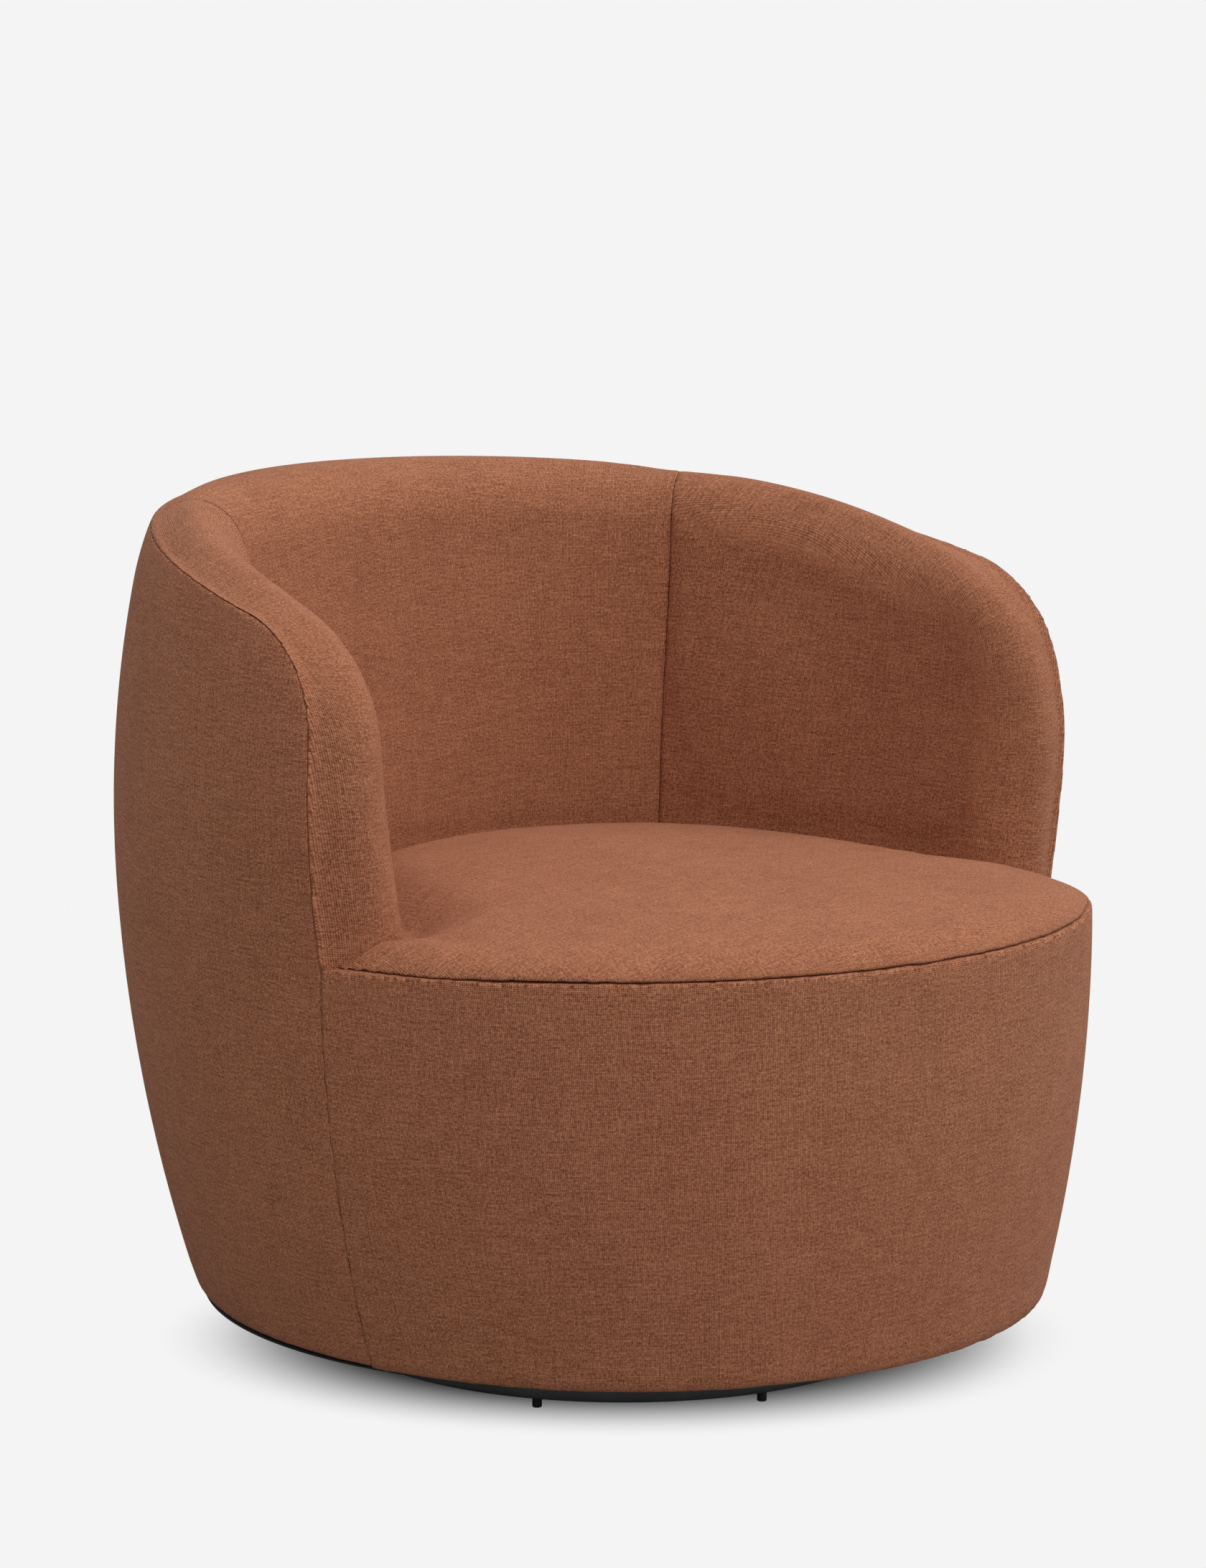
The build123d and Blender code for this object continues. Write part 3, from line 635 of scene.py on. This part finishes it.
def fill_arms(piece, share=1.0):
    """Fills a share of the arm fronts out sideways and forwards, and thins the arms on the inside."""
    x, y, z = points_of(piece).T
    wall = np.maximum(wall_depth(x, y, z), 0)
    flare = arm_flare * share * ease(z, *flare_heights) * (1 - ease(y, *flare_ahead))
    flare *= 1 - right_top_less * ease(z, *right_top) * (x > 0)
    inside = np.clip(wall / arm_thickness, 0, 1) * (1 - ease(wall, arm_thickness, arm_reach))
    waist = arm_waist * np.exp(-(((y - waist_y) / waist_spread) ** 2)) * ease(z, *waist_heights)
    slack = inside * (arm_slack * (1 - ease(y, *slack_ahead)) + share * waist)
    slack *= ease(np.abs(x), *seat_sides)
    droop = arm_droop * share * ease(z, *droop_heights) * (1 - ease(y, *droop_ahead))
    droop *= ease(wall, *crest_depths)
    foot = (1 - ease(z, *foot_heights)) * (1 - ease(y, *foot_ahead)) * ease(wall, *foot_depths)
    droop += foot_lap * share * foot * (z > seat_line - foot_below)
    outward = np.sign(x) * (flare_sideways * flare + slack)
    move_points(piece, x + outward, y - flare_forward * flare, z - droop)


def hang_hem(piece):
    """Lets the bottom edge down at the front and takes it up a little behind."""
    x, y, z = points_of(piece).T
    share = np.clip((hem_middle - y) / hem_span, -hem_lift, 1)
    move_points(piece, x, y, z - hem_drop * share * (1 - ease(z, *hem_heights)))


def seat_crevice(piece):
    """How far the seat is drawn down beside the arms and the back."""
    walls = surface_tree(["arm_pad_left", "arm_pad_right", "back_pad"])
    gap = np.array([walls.find_nearest(v.co)[3] for v in piece.data.vertices])
    x, y, _ = points_of(piece).T
    ahead = y + right_crease_lead * (x > 0)
    return seat_draw * (1 - ease(gap, 0.0, seat_crease)) * ease(ahead, *crease_ahead)


def shape_seat(piece):
    """Draws the seat down beside the walls, rounds its front edge and tucks its corners in."""
    x, y, z = points_of(piece).T
    rise = z - seat_line
    wall = wall_depth(x, y, z)
    inward = np.maximum(wall, 0)
    edge = seat_round * (1 - np.exp(-inward / seat_round)) * (1 - 0.5 * ease(x, *round_sides))
    edge += seat_lip + seat_slope * inward
    lap = seat_lap * (1 - ease(wall, *edge_depths))
    puff = ear_puff * ease(-x, *puff_sides) * ease(wall, *crest_depths) * ease(y, *puff_behind)
    crown = np.maximum(seat_crown * rise - seat_crevice(piece), least_rise * rise)
    crown += puff * (rise > seat_top_from)
    blend = -seat_blend * np.log(np.exp(-crown / seat_blend) + np.exp(-edge / seat_blend))
    rise = np.where(rise > seat_top_from, blend, rise) - lap
    tuck = ear_tuck * ease(np.abs(x), *tuck_sides) * ease(y, *tuck_behind)
    move_points(piece, x, y + tuck, seat_line + rise)


def corner_share(x, y):
    """How much of a place belongs to the corner before the right arm."""
    return ease(x, *corner_sides) * ease(y, *corner_front) * (1 - ease(y, *corner_back))


def sink_corner(piece):
    """Lets the seat's seam down a little before the right arm, with all that meets there."""
    x, y, z = points_of(piece).T
    level = ease(z, *sink_heights) * (1 - ease(z, *sink_top))
    move_points(piece, x, y, z - corner_sink * level * corner_share(x, y))


def lower_core(piece):
    """Keeps the top of the foam under the seat's cloth, also where the seam is let down."""
    x, y, z = points_of(piece).T
    level = core_gap + corner_sink * corner_share(x, y)
    move_points(piece, x, y, z - level * ease(z, *core_heights))


def tighten(piece):
    """Draws the apron's top edge up to the seat's seam."""
    x, y, z = points_of(piece).T
    wall = wall_depth(x, y, z)
    near = (wall > 0) & (wall < apron_edge_depth) & (z > seat_line - apron_edge_height)
    draw_out = 1 + np.where(near, apron_draw * wall, 0) / np.hypot(x, y)
    move_points(piece, x * draw_out, y * draw_out, z)


# Where the weave runs on each panel


def lay_cloth(piece, name, along, up):
    """Keeps the place of each point on the flat cloth as an attribute of the piece."""
    rows = np.stack([along, up, np.zeros(len(along))], 1)
    made = piece.data.attributes.new(name, "FLOAT_VECTOR", "POINT")
    made.data.foreach_set("vector", rows.astype(np.float32).ravel())


def round_corner(rise, run, radius):
    """Length of a path up a face, round a corner and on along the top."""
    angle = np.arctan2(np.maximum(rise, 0), np.maximum(-run, 0) + 1e-9)
    over = np.where(run > 0, radius * pi / 2 + run, radius * angle)
    return np.where(rise < 0, rise, over)


def lay_wall(piece, facing, start):
    """Cloth on the outside: level weft round the barrel, from the direction that the panel faces."""
    x, y, z = points_of(piece).T
    middle = barrel_back + (z - barrel_waist) * tan(barrel_lean)
    angle = np.arctan2(x, middle - y) - facing
    angle = (angle + pi) % (2 * pi) - pi
    lay_cloth(piece, "weave", start + angle * barrel_radius, z - np.maximum(wall_depth(x, y, z), 0))


def lay_back(piece, start):
    """Cloth on the inside of the back: up the wall and over the rim."""
    x, y, z = points_of(piece).T
    angle = np.arctan2(x, y - seam_centre)
    wall = back_reach + (seam_reach - back_reach) * (angle / seam_angle) ** 2 + recline * (z - seat_line)
    run = np.hypot(x, y - seam_centre) - wall - inner_roll
    foot = rim_level(y)[0] - inner_roll
    up = foot + round_corner(z - foot, run, inner_roll)
    lay_cloth(piece, "weave", start + angle * back_radius, up)


def lay_arm(piece, start):
    """Cloth on an arm: straight on the inside, and following the band over the arm's front and top."""
    x, y, z = points_of(piece).T
    lay_cloth(piece, "weave", start + y, z)
    up = corner_z + round_corner(z - corner_z, y - corner_y, arm_corner)
    lay_cloth(piece, "band", start + 1 + np.hypot(x, y - seam_centre), up)
    share = 1 - ease(rim_depth(y, z)[0], *band_depths)
    made = piece.data.attributes.new("band_share", "FLOAT", "POINT")
    made.data.foreach_set("value", share.astype(np.float32))


def lay_seat(piece, start):
    """Cloth on the seat: square to the chair, and down over its front edge."""
    x, y, z = points_of(piece).T
    crown = crown_height - crown_fall * (x**2 + (y - crown_centre) ** 2) / barrel_radius**2
    lay_cloth(piece, "weave", start + x, y + np.minimum(z - crown, 0))


# Upholstered pieces


def dress(piece, node, material):
    """Finishes a padded piece that stands for a CAD node of the seat."""
    piece.data.materials.clear()
    piece.data.materials.append(material)
    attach(piece, "seat")
    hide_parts(node)


def pad(node, name, most, rounds):
    """A stuffed piece, swollen between its seams and softened."""
    piece, lines = even_cloth(node, name, pad_voxel)
    swell(piece, node, most)
    soften(piece, lines, rounds)
    return piece


# Each panel's cloth is cut from its own place along one long roll
seat = pad("seat_cushion", "seat_top", seat_swell, 4)
lay_seat(seat, 0.713)
shape_seat(seat)
fill_arms(seat, 0.0)
sink_corner(seat)
dress(seat, "seat_cushion", upholstery)

apron = pad("apron_pad", "front_apron", wall_swell, 3)
lay_wall(apron, 0.0, 3.1)
hang_hem(apron)
tighten(apron)
sink_corner(apron)
dress(apron, "apron_pad", upholstery)

back = pad("back_pad", "inside_back", wall_swell, 3)
lay_back(back, 6.2)
round_rim(back)
fill_arms(back)
dress(back, "back_pad", upholstery)

for side, start in (("left", 9.4), ("right", 14.7)):
    arm = pad(f"arm_pad_{side}", f"inside_arm_{side}", arm_swell, 3)
    lay_arm(arm, start)
    round_rim(arm)
    fill_arms(arm)
    sink_corner(arm)
    dress(arm, f"arm_pad_{side}", arm_upholstery)

for side, facing, start in (("left", -pi / 2, 19.3), ("right", pi / 2, 23.6), ("back", pi, 27.9)):
    cover, lines = even_cloth(f"cover_{side}", f"outside_{side}", fabric_voxel)
    soften(cover, lines, 3)
    lay_wall(cover, facing, start)
    round_rim(cover, -cover_gap)
    fill_arms(cover)
    hang_hem(cover)
    sink_corner(cover)
    dress(cover, f"cover_{side}", upholstery)

core, lines = even_cloth("seat_foam", "foam_core", core_voxel)
soften(core, lines, 2)
lower_core(core)
dress(core, "seat_foam", foam)

deck, lines = even_cloth("deck_pad", "felt_deck", fabric_voxel)
soften(deck, lines, 1)
dress(deck, "deck_pad", felt)


def make_dust_cloth():
    """The black cloth stapled under the body: a ring that sags a little between its edges."""
    low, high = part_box("dust_cover")
    reach = (high[0] - low[0]) / 2
    middle = (high[1] + low[1]) / 2
    turns, steps = 240, 24
    share, angle = np.meshgrid(np.linspace(0, 1, steps), np.linspace(0, 2 * pi, turns, endpoint=False))
    x = (dust_hole * (1 - share) + reach * share) * np.sin(angle)
    y = (dust_hole * (1 - share) + reach * share) * np.cos(angle) + middle * share
    pucker = dust_pucker * np.sin(dust_staples / 2 * angle) * share**6 * (1 - share)
    z = high[2] - dust_gap - dust_sag * np.sin(pi * share) - np.abs(pucker)
    points = np.stack([x, y, z], -1).reshape(-1, 3)
    faces = []
    for turn in range(turns):
        for step in range(steps - 1):
            near, far = turn * steps + step, (turn + 1) % turns * steps + step
            faces.append((near, near + 1, far + 1, far))
    mesh = bpy.data.meshes.new("dust_cloth")
    mesh.from_pydata(points.tolist(), [], faces)
    work = bmesh.new()
    work.from_mesh(mesh)
    bmesh.ops.recalc_face_normals(work, faces=work.faces)
    bmesh.ops.solidify(work, geom=work.faces[:], thickness=dust_thickness)
    work.to_mesh(mesh)
    work.free()
    mesh.shade_smooth()
    mesh.materials.append(dust_fabric)
    cloth = bpy.data.objects.new("dust_cloth", mesh)
    scene.collection.objects.link(cloth)
    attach(cloth, "seat")
    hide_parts("dust_cover")


make_dust_cloth()


# Studio: pale floor, soft light, camera


def make_floor():
    """A wide pale floor: shaded near the base, a plain page farther out, and clear from below."""
    mesh = bpy.data.meshes.new("floor")
    work = bmesh.new()
    bmesh.ops.create_grid(work, x_segments=2, y_segments=2, size=400)
    work.to_mesh(mesh)
    work.free()
    floor = bpy.data.objects.new("floor", mesh)
    scene.collection.objects.link(floor)
    material, tree, surface = new_material("pale floor")
    surface.inputs["Base Color"].default_value = bounce_colour
    surface.inputs["Roughness"].default_value = 1.0
    surface.inputs["Specular IOR Level"].default_value = 0.0
    shade = add_node(tree, "ShaderNodeBsdfDiffuse", {"Color": floor_colour})
    glow = add_node(tree, "ShaderNodeEmission", {"Color": page_colour})
    place = add_node(tree, "ShaderNodeTexCoord").outputs["Object"]
    turned = add_node(tree, "ShaderNodeVectorRotate", {"Vector": place, "Angle": view_turn},
                      rotation_type="Z_AXIS").outputs[0]
    reach = stretched(tree, turned, 1 / shade_width, 1.0, 0.0)
    away = add_node(tree, "ShaderNodeVectorMath", {0: reach}, operation="LENGTH").outputs["Value"]
    span = {"Value": away, "From Min": shade_near, "From Max": shade_far}
    share = add_node(tree, "ShaderNodeMapRange", span, interpolation_type="SMOOTHSTEP").outputs[0]
    page = add_node(tree, "ShaderNodeMixShader", {0: share, 1: shade.outputs[0], 2: glow.outputs[0]})
    seen = add_node(tree, "ShaderNodeLightPath").outputs["Is Camera Ray"]
    both = add_node(tree, "ShaderNodeMixShader", {0: seen, 1: surface.outputs[0], 2: page.outputs[0]})
    below = add_node(tree, "ShaderNodeNewGeometry").outputs["Backfacing"]
    clear = add_node(tree, "ShaderNodeBsdfTransparent").outputs[0]
    sided = add_node(tree, "ShaderNodeMixShader", {0: below, 1: both.outputs[0], 2: clear})
    tree.links.new(sided.outputs[0], tree.nodes["Material Output"].inputs["Surface"])
    mesh.materials.append(material)


def make_world(level, lean):
    """Even light from all round, a little stronger from one side, behind a plain page."""
    world = bpy.data.worlds.new("studio")
    world.use_nodes = True
    tree = world.node_tree
    tree.nodes.clear()
    way = add_node(tree, "ShaderNodeTexCoord").outputs["Generated"]
    slope = add_node(tree, "ShaderNodeVectorMath", {0: way, 1: lean},
                     operation="DOT_PRODUCT").outputs["Value"]
    strength = maths(tree, "MULTIPLY", maths(tree, "ADD", slope, 1.0), level)
    light = add_node(tree, "ShaderNodeBackground", {"Color": (1, 1, 1, 1), "Strength": strength})
    page = add_node(tree, "ShaderNodeBackground", {"Color": page_colour, "Strength": 1.0})
    seen = add_node(tree, "ShaderNodeLightPath").outputs["Is Camera Ray"]
    both = add_node(tree, "ShaderNodeMixShader", {0: seen, 1: light.outputs[0], 2: page.outputs[0]})
    add_node(tree, "ShaderNodeOutputWorld", {"Surface": both.outputs[0]})
    scene.world = world


def make_sun(name, strength, spread, tilt, turn):
    """A soft sun, tilted from overhead by an angle and turned about the vertical."""
    lamp = bpy.data.lights.new(name, "SUN")
    lamp.energy = strength
    lamp.angle = spread
    sun = bpy.data.objects.new(name, lamp)
    sun.rotation_euler = (tilt, 0, turn)
    scene.collection.objects.link(sun)


def make_camera():
    """The photograph's viewing point."""
    lens = bpy.data.cameras.new("camera")
    lens.lens = camera_lens
    lens.sensor_width = camera_film
    lens.clip_end = 1000
    camera = bpy.data.objects.new("camera", lens)
    camera.location = camera_place
    camera.rotation_euler = (pi / 2 - camera_dip, 0, -view_turn)
    scene.collection.objects.link(camera)
    scene.camera = camera


make_floor()
make_world(sky_level, sky_lean)
make_sun("key", sun_strength, sun_spread, sun_tilt, sun_turn)
make_camera()
scene.view_settings.view_transform = "Standard"
